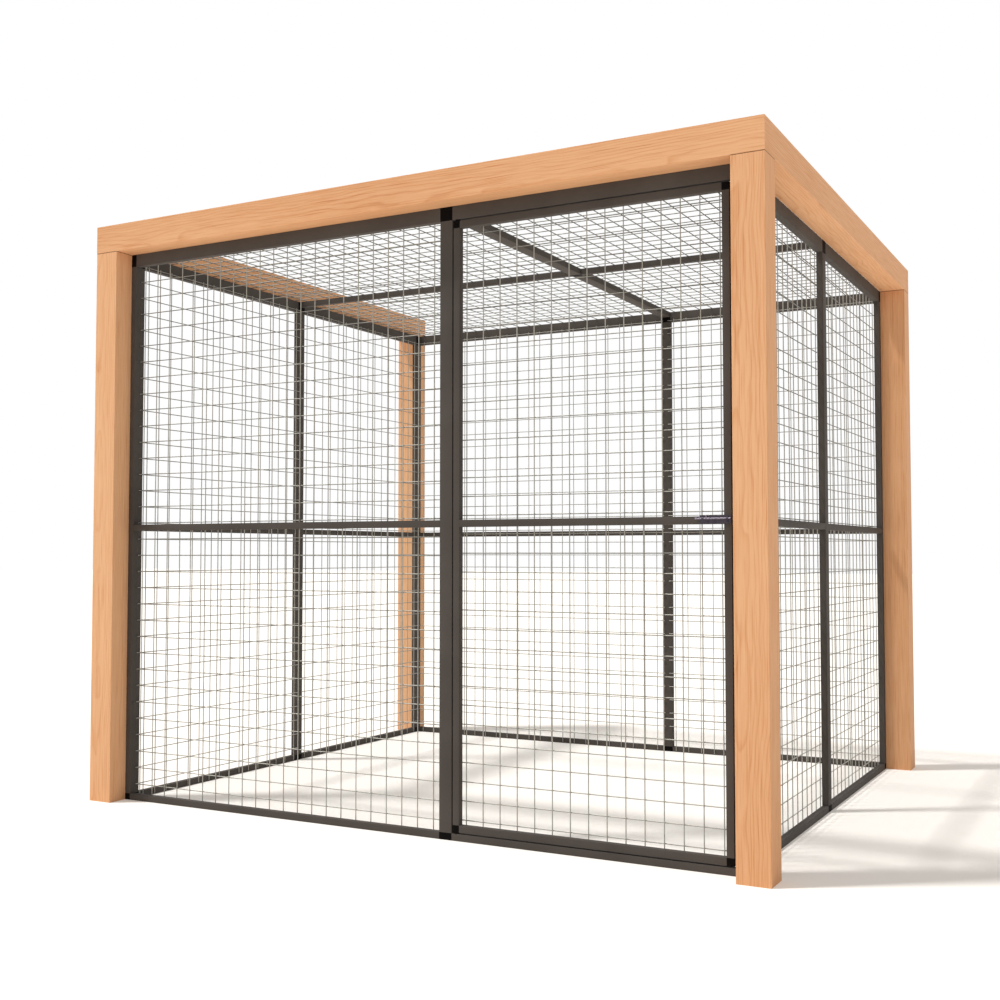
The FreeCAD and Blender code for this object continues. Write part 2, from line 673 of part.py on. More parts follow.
def meshes():
    """Mesh on the inner face of each wall, on the roof rails and on the door, one piece for each bay."""
    upright = ("mesh_foot", "mesh_top - mesh_foot")
    wall_rows = ("mesh_first_row", "rows_up")
    level = FreeCAD.Rotation()
    first = "mullion_left - front_first_column - front_columns * mesh_pitch"
    bay = mesh_bay("front_mesh", (first, "front_columns") + upright,
                   wall_rows + ("-mesh_end_x", "mesh_end_x + mullion_left + mesh_lap"))
    place(group("front_mesh", bay), (ZERO, "-post_face_y", ZERO), level)
    left = mesh_bay("back_mesh_left", ("left_first_column - mullion_left", "left_columns") + upright,
                    wall_rows + ("-mullion_left - mesh_lap", "mesh_end_x + mullion_left + mesh_lap"))
    first = "-mullion_right - right_first_column - right_columns * mesh_pitch"
    right = mesh_bay("back_mesh_right", (first, "right_columns") + upright,
                     wall_rows + ("-mesh_end_x", "mesh_end_x - mullion_right + mesh_lap"))
    place(group("back_mesh", left + right), (ZERO, "post_face_y", ZERO), FreeCAD.Rotation(AHEAD["z"], 180))
    for wall, side in (("left", -1), ("right", 1)):
        wires = []
        for word, ahead in (("near", -side), ("far", side)):
            first = f"tube_double / 2 + {word}_first_column"
            start = "tube_double / 2 - mesh_lap"
            if ahead < 0:
                first = f"-tube_double / 2 - {word}_first_column - {word}_columns * mesh_pitch"
                start = "-mesh_end_y"
            wires += mesh_bay(f"{wall}_mesh_{word}", (first, f"{word}_columns") + upright,
                              wall_rows + (start, "mesh_end_y - tube_double / 2 + mesh_lap"))
        place(group(f"{wall}_mesh", wires), (f"{side} * side_inner_x", ZERO, ZERO),
              FreeCAD.Rotation(AHEAD["z"], side * 90))
    along = ("-roof_mesh_back", "roof_mesh_back + mesh_end_y")
    roof_rows = ("-roof_first_row - roof_rows_far * mesh_pitch", "roof_rows_far + roof_rows_near")
    first = "mullion_left - left_first_column - roof_left_columns * mesh_pitch"
    left = mesh_bay("roof_mesh_left", (first, "roof_left_columns") + along,
                    roof_rows + ("-roof_mesh_side", "roof_mesh_side + mullion_left + mesh_lap"))
    right = mesh_bay("roof_mesh_right", ("mullion_right + right_first_column", "roof_right_columns") + along,
                     roof_rows + ("mullion_right - mesh_lap", "roof_mesh_side - mullion_right + mesh_lap"))
    place(group("roof_mesh", left + right), (ZERO, ZERO, "post_top"), FreeCAD.Rotation(AHEAD["x"], 90))
    leaf = mesh_bay("door_mesh",
                    ("door_first_column", "door_columns", "door_low + door_mesh_inset",
                     "door_high - door_low - 2 * door_mesh_inset"),
                    ("door_first_row", "door_rows", "door_left + door_mesh_inset",
                     "door_right - door_left - 2 * door_mesh_inset"))
    place(group("door_mesh", leaf), (ZERO, "-post_face_y", ZERO), level)


def door():
    """Door leaf flush with the front frame, with its pivot pins fixed in the hinge corners."""
    y = "-frame_y"
    for word, x in (("hinge", "door_left + tube / 2"), ("lock", "door_right - tube / 2")):
        stile = tube(f"door_{word}_stile", "z", "tube", "tube", "door_stile_length",
                     (x, y, "door_stile_start"))
        if word == "lock":
            bore(stile, "door_lock_stile_screw_hole", "y", [(ZERO, "small_screw_z - door_stile_start")],
                 "small_screw_across + 2 * screw_fit", "2 * tube_wall", "tube / 2")
    for word, z in (("top", "door_high - tube / 2"), ("mid", "mid_rail_height"),
                    ("bottom", "door_low + tube / 2")):
        rail = tube(f"door_{word}_rail", "x", "tube", "tube", "door_rail_length", ("door_rail_start", y, z))
        if word == "mid":
            spots = [(f"{spot} - door_rail_start", "small_screw_z - mid_rail_height")
                     for spot in ("small_screw_left", "small_screw_middle")]
            bore(rail, "door_mid_rail_screw_holes", "y", spots, "small_screw_across + 2 * screw_fit",
                 "2 * tube_wall", "tube / 2")
    blocks = []
    pins = []
    for high, z, gap in ((1, "door_high - tube / 2", "door_gap_top"),
                         (-1, "door_low + tube / 2", "door_gap_bottom")):
        level = "top" if high > 0 else "bottom"
        for word, side, x in (("hinge", -1, "door_left + tube / 2"), ("lock", 1, "door_right - tube / 2")):
            block = connector(f"door_corner_{level}_{word}", cube(), (x, y, z),
                              [("x", -side, "tube", "tube", ZERO), ("z", -high, "tube", "tube", ZERO)])
            if word == "hinge":
                bore(block, f"door_pin_hole_{level}", "z", [(ZERO, "pivot_inset - tube / 2")],
                     "pin_across + 2 * screw_fit", "pin_seat_depth", f"{high} * tube / 2", reverse=high < 0)
            blocks.append(block)
        shank = doc.addObject("Part::Cylinder", f"pivot_pin_{level}_shank")
        bind(shank, "Radius", "pin_across / 2")
        bind(shank, "Height", f"pin_seat_depth + {gap} + pin_reach - rod_cone")
        tip = doc.addObject("Part::Cone", f"pivot_pin_{level}_tip")
        bind(tip, "Radius1", "pin_across / 2")
        bind(tip, "Radius2", "pin_across / 2 - rod_cone")
        bind(tip, "Height", "rod_cone")
        bind(tip, "Placement.Base.z", f"pin_seat_depth + {gap} + pin_reach - rod_cone")
        pin = doc.addObject("Part::Fuse", f"pivot_pin_{level}")
        pin.Base = shank
        pin.Tool = tip
        start = "door_high - pin_seat_depth" if high > 0 else "door_low + pin_seat_depth"
        place(pin, ("pivot_x", "pivot_y", start), FreeCAD.Rotation(AHEAD["x"], 0 if high > 0 else 180))
        pins.append(pin)
    group("door_connectors", blocks)
    group("door_pivot_pins", pins)


def pivot_bushes(above, below):
    """Flanged bushes in the front rails, set through the rail's wall into the connector's spigot."""
    bushes = []
    for high, block, gap, face in ((1, above, "door_gap_top", "top_rail_low"),
                                   (-1, below, "door_gap_bottom", "tube")):
        level = "top" if high > 0 else "bottom"
        body = doc.addObject("PartDesign::Body", f"pivot_bush_{level}")
        sketch = sketch_on(body, body.Name + "_flange_plan", "XY_Plane")
        round_outline(sketch, "bush_flange")
        pad(body, body.Name + "_flange", sketch, f"{gap} - pivot_end_play", reverse=high > 0)
        sketch = sketch_on(body, body.Name + "_barrel_plan", "XY_Plane")
        round_outline(sketch, "bush_across")
        pad(body, body.Name + "_barrel", sketch, "bush_depth", reverse=high < 0)
        bore(body, body.Name + "_bore", "z", [(ZERO, ZERO)], "pin_across + 2 * pin_play")
        place(body, ("pivot_x", "pivot_y", face))
        bushes.append(body)
        rail = NODES[f"front_{level}_rail_right"]
        spot = [("pivot_x - mullion_right", "pivot_y + frame_y")]
        half = "tube_double / 2" if high > 0 else "tube / 2"
        bore(rail, f"front_rail_bush_hole_{level}", "z", spot, "bush_across + 2 * bush_fit", "2 * tube_wall",
             f"{-high} * {half}", reverse=high > 0)
        spot = [("pivot_x - mullion_offset", "pivot_y + frame_y")]
        bore(block, f"front_tee_bush_hole_{level}", "z", spot, "bush_across + 2 * bush_fit", "bush_depth + 1",
             f"{-high} * {half}", reverse=high > 0)
    group("pivot_bushes", bushes)


def round_outline(sketch, across):
    circle = sketch.addGeometry(Part.Circle(FreeCAD.Vector(), AHEAD["z"], number(across) / 2), False)
    constrain(sketch, "Coincident", circle, 3, -1, 1)
    constrain(sketch, "Diameter", circle, number(across), text=across)


def guide_outline(sketch, play):
    """Saddle about the rod's axis: a half round with straight legs back to the plate, and its hole."""
    across = f"rod_across + 2 * {play} + 2 * guide_wall"
    radius = number(across) / 2
    back = number("rod_out - plate_thick / 2")
    arc = sketch.addGeometry(Part.ArcOfCircle(
        Part.Circle(FreeCAD.Vector(), AHEAD["z"], radius), math.pi / 2, 3 * math.pi / 2), False)
    corners = [FreeCAD.Vector(u, v, 0)
               for u, v in ((0, -radius), (back, -radius), (back, radius), (0, radius))]
    lower = sketch.addGeometry(Part.LineSegment(corners[0], corners[1]), False)
    close = sketch.addGeometry(Part.LineSegment(corners[1], corners[2]), False)
    upper = sketch.addGeometry(Part.LineSegment(corners[2], corners[3]), False)
    hole = sketch.addGeometry(Part.Circle(FreeCAD.Vector(), AHEAD["z"], number("rod_across") / 2), False)
    constrain(sketch, "Coincident", arc, 3, -1, 1)
    constrain(sketch, "Tangent", arc, 2, lower, 1)
    constrain(sketch, "Coincident", lower, 2, close, 1)
    constrain(sketch, "Coincident", close, 2, upper, 1)
    constrain(sketch, "Tangent", upper, 2, arc, 1)
    constrain(sketch, "Horizontal", lower)
    constrain(sketch, "Horizontal", upper)
    constrain(sketch, "Vertical", close)
    constrain(sketch, "Coincident", hole, 3, -1, 1)
    constrain(sketch, "Diameter", arc, 2 * radius, text=across)
    constrain(sketch, "DistanceX", -1, 1, close, 1, back, text="rod_out - plate_thick / 2")
    constrain(sketch, "Diameter", hole, number("rod_across"), text=f"rod_across + 2 * {play}")


def guided_plate(name, length, guide_length, guide_start, play, spacing, spots, centre_x):
    """Plate on the front face with saddles that carry the rod, and its screw holes."""
    body = doc.addObject("PartDesign::Body", name)
    sketch = sketch_on(body, name + "_plan", "XZ_Plane")
    rectangle(sketch, length, "plate_tall")
    pad(body, name + "_sheet", sketch, "plate_thick")
    sketch = sketch_on(body, name + "_guide_section", "YZ_Plane", ("-rod_out", "rod_rise", guide_start))
    guide_outline(sketch, play)
    one = pad(body, name + "_guide", sketch, guide_length)
    if spacing != ZERO:
        pattern(body, name + "_guides", one, "X_Axis", spacing, "2")
    bore(body, name + "_holes", "y", spots, "small_screw_across + 2 * screw_fit")
    place(body, (centre_x, "-frame_face_y", "plate_z"))
    NODES[name] = body
    return body


def slide_bolt():
    """Slide bolt on the door's front face, and its keep on the front frame's stile."""
    drop = "-small_screw_drop"
    holes = [(f"small_screw_{word} - plate_x", drop) for word in ("left", "middle", "right")]
    guided_plate("latch_plate", "plate_long", "guide_long", "-guide_x - guide_long / 2", "rod_play",
                 "2 * guide_x", holes, "plate_x")
    guided_plate("latch_keep", "keep_long", "keep_guide_long", "keep_guide_inset - keep_long / 2",
                 "keep_play", ZERO, [(ZERO, drop)], "keep_x")
    stile = NODES["front_stile_right"]
    bore(stile, "front_stile_keep_hole", "y", [(ZERO, "small_screw_z - tube")],
         "small_screw_across + 2 * screw_fit", "2 * tube_wall", "tube / 2")
    along = FreeCAD.Rotation(AHEAD["y"], 90)
    y = "-frame_face_y - rod_out"
    rod = doc.addObject("Part::Cylinder", "bolt_rod")
    bind(rod, "Radius", "rod_across / 2")
    bind(rod, "Height", "rod_right - rod_left - rod_cone")
    place(rod, ("rod_left", y, "rod_z"), along)
    tip = doc.addObject("Part::Cone", "bolt_tip")
    bind(tip, "Radius1", "rod_across / 2")
    bind(tip, "Radius2", "rod_across / 2 - rod_cone")
    bind(tip, "Height", "rod_cone")
    place(tip, ("rod_right - rod_cone", y, "rod_z"), along)
    knob = doc.addObject("Part::Cylinder", "bolt_knob")
    bind(knob, "Radius", "knob_across / 2")
    bind(knob, "Height", "knob_long")
    place(knob, ("rod_left", y, "rod_z"), along)
    handle = doc.addObject("Part::Cylinder", "bolt_handle")
    bind(handle, "Radius", "rod_across / 2")
    bind(handle, "Height", "handle_tall")
    place(handle, ("handle_x", y, "rod_z"))
    cap = doc.addObject("Part::Sphere", "bolt_handle_cap")
    bind(cap, "Radius", "rod_across / 2")
    place(cap, ("handle_x", y, "rod_z + handle_tall"))
    bolt = doc.addObject("Part::MultiFuse", "latch_bolt")
    bolt.Shapes = [rod, tip, knob, handle, cap]
    NODES["latch_bolt"] = bolt
    out = -AHEAD["y"]
    length = "plate_thick + tube_wall + small_screw_bite"
    face = "-frame_face_y - plate_thick"
    group("latch_screws", [screw(f"latch_screw_{word}", out, "small_screw", length,
                                 (f"small_screw_{word}", face, "small_screw_z"))
                           for word in ("left", "middle", "right")])
    return screw("keep_screw", out, "small_screw", length, ("keep_x", face, "small_screw_z"))


def frame_screws(extra):
    """Screws through the stiles into the posts, and through the side stiles into the front and back ones."""
    screws = [extra]
    for word, side in (("left", -1), ("right", 1)):
        for tag, end in (("front", -1), ("back", 1)):
            for row in ("low", "high"):
                z = f"frame_screw_{row}"
                screws.append(screw(f"post_screw_{word}_{tag}_{row}", AHEAD["x"] * -side, "frame_screw",
                                    "tube + frame_screw_bite",
                                    (f"{side} * side_inner_x", f"{end} * frame_y", z)))
                screws.append(screw(f"corner_screw_{word}_{tag}_{row}", AHEAD["y"] * -end, "frame_screw",
                                    "tube + tube_wall + corner_screw_bite",
                                    (f"{side} * frame_x", f"{end} * (post_face_y - tube)",
                                     f"{z} + frame_screw_stagger")))
    group("frame_screws", screws)


def check_and_write():
    """Stop on any failed object, then write each node as STEP."""
    doc.recompute()
    for thing in doc.Objects:
        if "Invalid" in thing.State or "Error" in thing.State:
            raise RuntimeError("failed object: " + thing.Label)
    os.makedirs("parts", exist_ok=True)
    for name, thing in NODES.items():
        thing.Label = name
        shape = thing.Shape
        if shape.isNull() or not shape.isValid() or not shape.Solids:
            raise RuntimeError("bad shape: " + name)
        shape.exportStep(f"parts/{name}.step")


def main():
    fill_sheet()
    for level, end in (("front", -1), ("back", 1)):
        for word, side in (("left", -1), ("right", 1)):
            post(f"post_{level}_{word}", side, end)
    beam_along_front("beam_front")
    beam_along_side("beam_left", -1)
    beam_along_side("beam_right", 1)
    beam_screws()
    above, below = wall_across("front", -1)
    wall_across("back", 1)
    wall_along("left", -1)
    wall_along("right", 1)
    roof()
    plugs()
    meshes()
    door()
    pivot_bushes(above, below)
    frame_screws(slide_bolt())
    check_and_write()


main()
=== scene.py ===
"""Looks of the cat run: oiled softwood, powder-coated tube, moulded nylon and galvanised mesh."""
import json
import math

import bpy
import numpy as np
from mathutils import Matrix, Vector


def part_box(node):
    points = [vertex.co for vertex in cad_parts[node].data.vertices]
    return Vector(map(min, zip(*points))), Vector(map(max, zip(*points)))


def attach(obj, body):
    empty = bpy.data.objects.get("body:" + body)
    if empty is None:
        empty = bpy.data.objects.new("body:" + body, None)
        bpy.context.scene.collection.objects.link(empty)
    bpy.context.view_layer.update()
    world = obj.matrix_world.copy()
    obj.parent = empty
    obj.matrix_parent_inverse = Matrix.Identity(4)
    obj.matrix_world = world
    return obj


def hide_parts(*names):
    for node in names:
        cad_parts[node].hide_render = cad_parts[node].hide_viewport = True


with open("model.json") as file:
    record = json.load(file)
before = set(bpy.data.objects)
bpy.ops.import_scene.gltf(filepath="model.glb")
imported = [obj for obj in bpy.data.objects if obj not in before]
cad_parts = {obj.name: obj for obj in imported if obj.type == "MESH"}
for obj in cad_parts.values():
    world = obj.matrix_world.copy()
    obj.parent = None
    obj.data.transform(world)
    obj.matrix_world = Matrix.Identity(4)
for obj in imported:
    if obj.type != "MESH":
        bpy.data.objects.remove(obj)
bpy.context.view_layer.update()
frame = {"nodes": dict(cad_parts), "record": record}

NODES = frame["nodes"]
POST_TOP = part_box("post_front_left")[1][2]

# sizes in metres
WIRE = 0.0040
WELD_SINK = 0.0005
TUBE_WALL = 0.0015
TUBE_EDGE = 0.0008
TUBE_END = 0.0003
ARRIS = 0.0020
# height of the band of painted joint shade below a post's top
JOINT_SHADE_BAND = 0.0024
MERGE = 0.00001
NEAR = 0.000001
FLOOR_REACH = 60.0
VIEW_REACH = 200.0

# steps round a wire, a tube's corner, a screw and an arris
WIRE_SIDES = 10
CORNER_STEPS = 4
SCREW_STEPS = 36
ARRIS_STEPS = 2

# the recess in a screw's head: its lobes, and their depth as a share of its radius
LOBES = 6
LOBE_DEPTH = 0.16

# angles in degrees past which an edge is sharp
WIRE_CREASE = 50
TUBE_CREASE = 40
SCREW_CREASE = 40
TIMBER_CREASE = 50

# strength of the white surround and of the floor's glow, and what is added where they are seen
SURROUND, SURROUND_SEEN = 0.50, 0.50
GLOW, GLOW_SEEN = 0.10, 0.08

# each lamp's strength, its width in degrees and the way it shines
LAMPS = {
    "key": (2.7, 5.5, (0.388, 0.252, -0.887)),
    "under": (0.80, 60, (0.05, 0.2, 0.98)),
}

# the camera's place in metres, its tilt and turn in degrees, its focal length and sensor in millimetres
EYE = (2.6282, -5.2093, 1.0681)
TILT, TURN = 92.463, 28.24
FOCAL, SENSOR = 44.61, 36.0

# the axis of each timber's length, its pith line as two places across that axis in metres, and how dark it is
TIMBERS = {
    "post_front_left": ("z", (-1.470, -1.150), 0.135),
    "post_front_right": ("z", (1.402, -1.120), 0.215),
    "post_back_left": ("z", (-1.400, 1.300), 0.035),
    "post_back_right": ("z", (1.550, 1.180), 0.235),
    "beam_front": ("x", (-2.395, -1.150), 0.245),
    "beam_left": ("y", (-1.500, -2.360), 0.185),
    "beam_right": ("y", (1.385, -2.560), 0.185),
}


def linear(code):
    """Linear RGBA of an sRGB hex code."""
    parts = np.array([int(code[i:i + 2], 16) for i in (1, 3, 5)]) / 255
    bent = np.where(parts <= 0.04045, parts / 12.92, ((parts + 0.055) / 1.055) ** 2.4)
    return (*bent.tolist(), 1.0)


def feed(tree, made, inputs):
    """Give sockets, by name or number, a constant or a link."""
    for key, value in inputs.items():
        if isinstance(value, bpy.types.NodeSocket):
            tree.links.new(value, made.inputs[key])
        else:
            made.inputs[key].default_value = value


def add(tree, kind, inputs, out=0, stops=(), **settings):
    """Add a node with its settings, inputs and colour stops, and return one of its outputs."""
    made = tree.nodes.new(kind)
    for name, value in settings.items():
        setattr(made, name, value)
    feed(tree, made, inputs)
    for index, (spot, code) in enumerate(stops):
        line = made.color_ramp.elements
        stop = line[index] if index < 2 else line.new(spot)
        stop.position = spot
        stop.color = linear(code)
    return made.outputs[out]


def new_finish(name):
    """A new material, its node tree, its shader and the object coordinates in metres."""
    material = bpy.data.materials.new(name)
    material.use_nodes = True
    tree = material.node_tree
    return material, tree, tree.nodes["Principled BSDF"], add(tree, "ShaderNodeTexCoord", {}, "Object")


def softwood(name, axis, pith, shade):
    """Oiled softwood, planed. Growth rings 6 mm apart stand round a pith line in or beside the member and
    sway slowly along it, so that a face shows long pointed arches; fine fibre streaks run with the length."""
    ring_gap, sway_size, sway_reach = 0.006, 0.200, 0.05
    # fibres are finer than 0.1 mm, drawn 2.4 mm wide so that they show
    streak_size, fibre_size, cloud_size = 0.008, 0.0024, 0.330
    # how closely the pattern follows the length: the less, the longer it is drawn out
    streak_draw, fibre_draw, slow_draw = 0.05, 0.012, 0.3
    late_share, streak_share, cloud_share, fibre_share = 0.16, 0.35, 0.30, 0.6
    material, tree, shader, place = new_finish(name)
    turn = {"z": (0, 0, 0), "x": (0, math.radians(-90), 0), "y": (math.radians(90), 0, 0)}[axis]
    grain = add(tree, "ShaderNodeMapping", {
        "Vector": place, "Rotation": turn, "Location": (-pith[0], -pith[1], 0)})
    drawn = add(tree, "ShaderNodeMapping", {"Vector": grain, "Scale": (1, 1, streak_draw)})
    long = add(tree, "ShaderNodeMapping", {"Vector": grain, "Scale": (1, 1, fibre_draw)})
    slow = add(tree, "ShaderNodeMapping", {"Vector": grain, "Scale": (1, 1, slow_draw)})
    sway = add(tree, "ShaderNodeTexNoise", {"Vector": slow, "Scale": 1 / sway_size, "Detail": 3.0}, "Color")
    sway = add(tree, "ShaderNodeVectorMath", {
        0: sway, 1: (sway_reach, sway_reach, 0), 2: (-sway_reach / 2, -sway_reach / 2, 0)},
        operation="MULTIPLY_ADD")
    off = add(tree, "ShaderNodeVectorMath", {0: grain, 1: sway}, operation="ADD")
    off = add(tree, "ShaderNodeVectorMath", {0: off, 1: (1, 1, 0)}, operation="MULTIPLY")
    radius = add(tree, "ShaderNodeVectorMath", {0: off}, "Value", operation="LENGTH")
    ring = add(tree, "ShaderNodeMath", {0: radius, 1: 1 / ring_gap}, operation="MULTIPLY")
    ring = add(tree, "ShaderNodeMath", {0: ring}, operation="FRACT")
    # each ring darkens slowly outwards to its late wood and then breaks off
    late = add(tree, "ShaderNodeValToRGB", {"Fac": ring}, stops=(
        (0.0, "#202020"), (1.0, "#303030"), (0.55, "#000000"), (0.9, "#ffffff")))
    streak = add(tree, "ShaderNodeTexNoise", {
        "Vector": drawn, "Scale": 1 / streak_size, "Detail": 5.0, "Roughness": 0.65})
    fibre = add(tree, "ShaderNodeTexNoise", {"Vector": long, "Scale": 1 / fibre_size, "Detail": 2.0})
    cloud = add(tree, "ShaderNodeTexNoise", {"Vector": slow, "Scale": 1 / cloud_size, "Detail": 2.0})
    tone = add(tree, "ShaderNodeMath", {0: late, 1: late_share, 2: shade}, operation="MULTIPLY_ADD")
    tone = add(tree, "ShaderNodeMath", {0: streak, 1: streak_share, 2: tone}, operation="MULTIPLY_ADD")
    tone = add(tree, "ShaderNodeMath", {0: cloud, 1: cloud_share, 2: tone}, operation="MULTIPLY_ADD")
    colour = add(tree, "ShaderNodeValToRGB", {"Fac": tone}, stops=(
        (0.25, "#ecbc90"), (0.85, "#ca8d60"), (0.50, "#e3ae82"), (0.66, "#daa173")))
    pore = add(tree, "ShaderNodeValToRGB", {"Fac": fibre}, stops=((0.55, "#ffffff"), (0.72, "#e8d4c1")))
    colour = add(tree, "ShaderNodeMix", {0: 1.0, 6: colour, 7: pore}, 2,
                 data_type="RGBA", blend_type="MULTIPLY")
    if axis == "z":
        # painted shade: the last 2.4 mm below a post's top is painted dark, a fine line under the beam that
        # stands in for the shade in the joint
        up = add(tree, "ShaderNodeSeparateXYZ", {"Vector": place}, "Z")
        rim = add(tree, "ShaderNodeMath", {0: up, 1: POST_TOP - JOINT_SHADE_BAND}, operation="GREATER_THAN")
        colour = add(tree, "ShaderNodeMix", {0: rim, 6: colour, 7: linear("#7a5236")}, 2, data_type="RGBA")
    rough = add(tree, "ShaderNodeMapRange", {"Value": streak, "To Min": 0.52, "To Max": 0.70})
    height = add(tree, "ShaderNodeMath", {0: fibre, 1: fibre_share, 2: late}, operation="MULTIPLY_ADD")
    bump = add(tree, "ShaderNodeBump", {"Height": height, "Distance": 0.0004, "Strength": 0.35})
    feed(tree, shader, {"Base Color": colour, "Roughness": rough, "Specular IOR Level": 0.12, "Normal": bump})
    return material


def powder_coat():
    """Satin powder coat on aluminium, sprayed and baked: orange peel about 1.5 mm across, even dark tone."""
    peel_size, drift_size, dust_size = 0.0015, 0.250, 0.033
    material, tree, shader, place = new_finish("powder_coat")
    peel = add(tree, "ShaderNodeTexNoise", {"Vector": place, "Scale": 1 / peel_size, "Detail": 2.0})
    drift = add(tree, "ShaderNodeTexNoise", {"Vector": place, "Scale": 1 / drift_size, "Detail": 3.0})
    dust = add(tree, "ShaderNodeTexNoise", {"Vector": place, "Scale": 1 / dust_size, "Detail": 5.0})
    colour = add(tree, "ShaderNodeValToRGB", {"Fac": drift}, stops=((0.3, "#48423d"), (0.7, "#514b46")))
    rough = add(tree, "ShaderNodeMapRange", {"Value": dust, "To Min": 0.64, "To Max": 0.80})
    bump = add(tree, "ShaderNodeBump", {"Height": peel, "Distance": 0.00012, "Strength": 0.5})
    feed(tree, shader, {"Base Color": colour, "Roughness": rough, "Specular IOR Level": 0.16, "Normal": bump})
    return material


def moulded_nylon():
    """Black nylon, moulded in a spark-eroded tool: a fine even grain that kills most of the gloss."""
    # the grain is about 0.1 mm, drawn 0.7 mm wide so that it shows
    grain_size, cloud_size = 0.0007, 0.016
    material, tree, shader, place = new_finish("moulded_nylon")
    grain = add(tree, "ShaderNodeTexNoise", {"Vector": place, "Scale": 1 / grain_size, "Detail": 2.0})
    cloud = add(tree, "ShaderNodeTexNoise", {"Vector": place, "Scale": 1 / cloud_size, "Detail": 3.0})
    colour = add(tree, "ShaderNodeValToRGB", {"Fac": cloud}, stops=((0.3, "#070505"), (0.7, "#0e0b0a")))
    rough = add(tree, "ShaderNodeMapRange", {"Value": grain, "To Min": 0.62, "To Max": 0.80})
    bump = add(tree, "ShaderNodeBump", {"Height": grain, "Distance": 0.00006, "Strength": 0.4})
    feed(tree, shader, {"Base Color": colour, "Roughness": rough, "Specular IOR Level": 0.06, "Normal": bump})
    return material


def galvanised_wire():
    """Steel wire, welded and then dipped in zinc: a dull grey crust in 4 mm patches, hardly metallic, with
    painted
    light and shade on top: pale where it faces the sky and dark where it faces down."""
    patch_size, cloud_size = 0.004, 0.013
    ground, patch_share, cloud_share, painted_shade_share = 0.2, 0.2, 0.4, 0.8
    material, tree, shader, place = new_finish("galvanised_wire")
    facing = add(tree, "ShaderNodeNewGeometry", {}, "Normal")
    up = add(tree, "ShaderNodeSeparateXYZ", {"Vector": facing}, "Z")
    patch = add(tree, "ShaderNodeTexVoronoi", {"Vector": place, "Scale": 1 / patch_size}, "Color")
    cloud = add(tree, "ShaderNodeTexNoise", {"Vector": place, "Scale": 1 / cloud_size, "Detail": 4.0})
    tone = add(tree, "ShaderNodeMath", {0: patch, 1: patch_share, 2: ground}, operation="MULTIPLY_ADD")
    tone = add(tree, "ShaderNodeMath", {0: cloud, 1: cloud_share, 2: tone}, operation="MULTIPLY_ADD")
    # painted light and shade: the colour goes pale where the wire's surface faces up and dark where it faces
    # down
    colour = add(tree, "ShaderNodeMath", {0: up, 1: painted_shade_share, 2: tone}, operation="MULTIPLY_ADD")
    colour = add(tree, "ShaderNodeValToRGB", {"Fac": colour}, stops=(
        (0.12, "#2e2b28"), (0.95, "#c0bdb2"), (0.45, "#9b988f")))
    gloss = add(tree, "ShaderNodeMapRange", {"Value": tone, "To Min": 0.42, "To Max": 0.60})
    bump = add(tree, "ShaderNodeBump", {"Height": cloud, "Distance": 0.00005, "Strength": 0.4})
    feed(tree, shader, {"Base Color": colour, "Roughness": gloss, "Metallic": 0.1, "Normal": bump})
    return material


def zinc(name, dark, light, patch_size, metallic, rough):
    """Zinc on steel: patches of crystal, each a little different in tone and gloss, dulled by handling."""
    clouds_in_patch, cell_share, cloud_share, gloss_range = 0.3, 0.45, 0.55, 0.16
    material, tree, shader, place = new_finish(name)
    cell = add(tree, "ShaderNodeTexVoronoi", {"Vector": place, "Scale": 1 / patch_size}, "Color")
    cell = add(tree, "ShaderNodeSeparateColor", {"Color": cell})
    cloud = add(tree, "ShaderNodeTexNoise", {
        "Vector": place, "Scale": clouds_in_patch / patch_size, "Detail": 4.0})
    tone = add(tree, "ShaderNodeMath", {0: cell, 1: cell_share}, operation="MULTIPLY")
    tone = add(tree, "ShaderNodeMath", {0: cloud, 1: cloud_share, 2: tone}, operation="MULTIPLY_ADD")
    colour = add(tree, "ShaderNodeValToRGB", {"Fac": tone}, stops=((0.25, dark), (0.75, light)))
    gloss = add(tree, "ShaderNodeMapRange", {"Value": tone, "To Min": rough, "To Max": rough + gloss_range})
    bump = add(tree, "ShaderNodeBump", {"Height": cloud, "Distance": 0.00005, "Strength": 0.4})
    feed(tree, shader, {"Base Color": colour, "Roughness": gloss, "Metallic": metallic, "Normal": bump})
    return material


def lacquer(name, dark, light, rough):
    """Dark lacquer on pressed steel, dipped: smooth, with a slight cloud in tone and gloss."""
    cloud_size, fine_size, gloss_range = 0.011, 0.0011, 0.14
    material, tree, shader, place = new_finish(name)
    cloud = add(tree, "ShaderNodeTexNoise", {"Vector": place, "Scale": 1 / cloud_size, "Detail": 4.0})
    fine = add(tree, "ShaderNodeTexNoise", {"Vector": place, "Scale": 1 / fine_size, "Detail": 2.0})
    colour = add(tree, "ShaderNodeValToRGB", {"Fac": cloud}, stops=((0.3, dark), (0.7, light)))
    gloss = add(tree, "ShaderNodeMapRange", {"Value": cloud, "To Min": rough, "To Max": rough + gloss_range})
    bump = add(tree, "ShaderNodeBump", {"Height": fine, "Distance": 0.00005, "Strength": 0.4})
    feed(tree, shader, {"Base Color": colour, "Roughness": gloss, "Specular IOR Level": 0.4, "Normal": bump})
    return material


